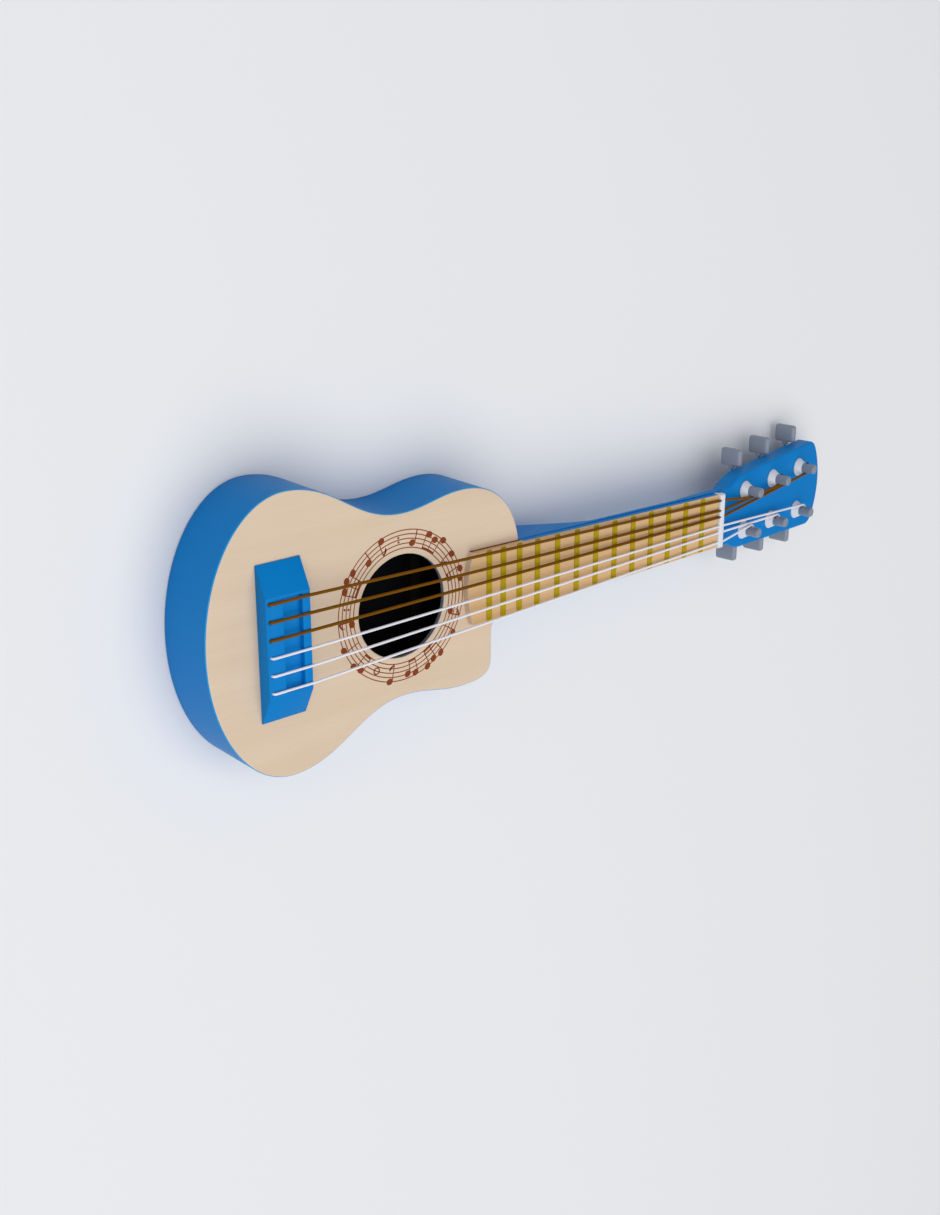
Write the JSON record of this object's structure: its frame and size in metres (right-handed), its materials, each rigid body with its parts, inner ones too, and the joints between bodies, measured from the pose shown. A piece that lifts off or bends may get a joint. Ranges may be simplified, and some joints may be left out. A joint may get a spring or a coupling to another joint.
{
  "type": "toy acoustic guitar",
  "caption": "Small toy acoustic guitar with a cutaway hollow body, round sound hole, fretted neck, tied bridge and geared tuners that turn the string posts.",
  "frame": {"origin": "under the middle of the guitar's length, on its centre line, on the plane that its back rests on", "axes": "+X along the strings to the headstock, +Y to the bass strings' side, +Z out of the soundboard; the guitar lies on its back"},
  "size_m": [0.645, 0.197, 0.0638],
  "materials": {
    "top_wood": "satin",
    "inner_wood": "matte",
    "blue_paint": "satin",
    "board_wood": "satin",
    "fret_gold": "satin",
    "pale_plastic": "satin",
    "grey_plastic": "satin",
    "bass_string": "satin",
    "treble_string": "gloss",
    "steel": "satin"
  },
  "bodies": {
    "guitar": {"soundboard": "top_wood", "back_plate": "blue_paint", "side_rim": "blue_paint", "top_lining": "inner_wood", "back_lining": "inner_wood", "tail_block": "inner_wood", "neck_block": "inner_wood", "top_braces": "inner_wood", "back_braces": "inner_wood", "bridge_plate": "inner_wood", "neck": "blue_paint", "heel_dowels": "inner_wood", "fretboard": "board_wood", "frets": "fret_gold", "nut": "pale_plastic", "bridge": "blue_paint", "string_1": "treble_string", "string_2": "treble_string", "string_3": "treble_string", "string_4": "bass_string", "string_5": "bass_string", "string_6": "bass_string", "post_bushings": "pale_plastic", "bass_tuner_plate": "steel", "treble_tuner_plate": "steel", "plate_screws": "steel"},
    "tuning_key_1": {"button_1": "grey_plastic", "worm_1": "steel"},
    "string_post_1": {"post_1": "grey_plastic", "gear_1": "pale_plastic", "gear_screw_1": "steel"},
    "tuning_key_2": {"button_2": "grey_plastic", "worm_2": "steel"},
    "string_post_2": {"post_2": "grey_plastic", "gear_2": "pale_plastic", "gear_screw_2": "steel"},
    "tuning_key_3": {"button_3": "grey_plastic", "worm_3": "steel"},
    "string_post_3": {"post_3": "grey_plastic", "gear_3": "pale_plastic", "gear_screw_3": "steel"},
    "tuning_key_4": {"button_4": "grey_plastic", "worm_4": "steel"},
    "string_post_4": {"post_4": "grey_plastic", "gear_4": "pale_plastic", "gear_screw_4": "steel"},
    "tuning_key_5": {"button_5": "grey_plastic", "worm_5": "steel"},
    "string_post_5": {"post_5": "grey_plastic", "gear_5": "pale_plastic", "gear_screw_5": "steel"},
    "tuning_key_6": {"button_6": "grey_plastic", "worm_6": "steel"},
    "string_post_6": {"post_6": "grey_plastic", "gear_6": "pale_plastic", "gear_screw_6": "steel"}
  },
  "joints": [
    {"name": "key_1_turn", "type": "hinge", "parent": "guitar", "child": "tuning_key_1", "pos_m": [0.20056, -0.0171, 0.02814], "axis": [0, 1, 0], "continuous": true},
    {"name": "post_1_turn", "type": "hinge", "parent": "guitar", "child": "string_post_1", "pos_m": [0.19653, -0.0171, 0.04708], "axis": [0.1599, 0, 0.9871], "continuous": true},
    {"name": "key_2_turn", "type": "hinge", "parent": "guitar", "child": "tuning_key_2", "pos_m": [0.24449, -0.0181, 0.02102], "axis": [0, 1, 0], "continuous": true},
    {"name": "post_2_turn", "type": "hinge", "parent": "guitar", "child": "string_post_2", "pos_m": [0.24046, -0.0181, 0.03997], "axis": [0.1599, 0, 0.9871], "continuous": true},
    {"name": "key_3_turn", "type": "hinge", "parent": "guitar", "child": "tuning_key_3", "pos_m": [0.28841, -0.0191, 0.01391], "axis": [0, 1, 0], "continuous": true},
    {"name": "post_3_turn", "type": "hinge", "parent": "guitar", "child": "string_post_3", "pos_m": [0.28439, -0.0191, 0.03286], "axis": [0.1599, 0, 0.9871], "continuous": true},
    {"name": "key_4_turn", "type": "hinge", "parent": "guitar", "child": "tuning_key_4", "pos_m": [0.28841, 0.0191, 0.01391], "axis": [0, 1, 0], "continuous": true},
    {"name": "post_4_turn", "type": "hinge", "parent": "guitar", "child": "string_post_4", "pos_m": [0.28439, 0.0191, 0.03286], "axis": [0.1599, 0, 0.9871], "continuous": true},
    {"name": "key_5_turn", "type": "hinge", "parent": "guitar", "child": "tuning_key_5", "pos_m": [0.24449, 0.0181, 0.02102], "axis": [0, 1, 0], "continuous": true},
    {"name": "post_5_turn", "type": "hinge", "parent": "guitar", "child": "string_post_5", "pos_m": [0.24046, 0.0181, 0.03997], "axis": [0.1599, 0, 0.9871], "continuous": true},
    {"name": "key_6_turn", "type": "hinge", "parent": "guitar", "child": "tuning_key_6", "pos_m": [0.20056, 0.0171, 0.02814], "axis": [0, 1, 0], "continuous": true},
    {"name": "post_6_turn", "type": "hinge", "parent": "guitar", "child": "string_post_6", "pos_m": [0.19653, 0.0171, 0.04708], "axis": [0.1599, 0, 0.9871], "continuous": true}
  ],
  "couplings": [
    {"joint": "post_1_turn", "follows": "key_1_turn", "ratio": 0.071429},
    {"joint": "post_2_turn", "follows": "key_2_turn", "ratio": 0.071429},
    {"joint": "post_3_turn", "follows": "key_3_turn", "ratio": 0.071429},
    {"joint": "post_4_turn", "follows": "key_4_turn", "ratio": -0.071429},
    {"joint": "post_5_turn", "follows": "key_5_turn", "ratio": -0.071429},
    {"joint": "post_6_turn", "follows": "key_6_turn", "ratio": -0.071429}
  ]
}
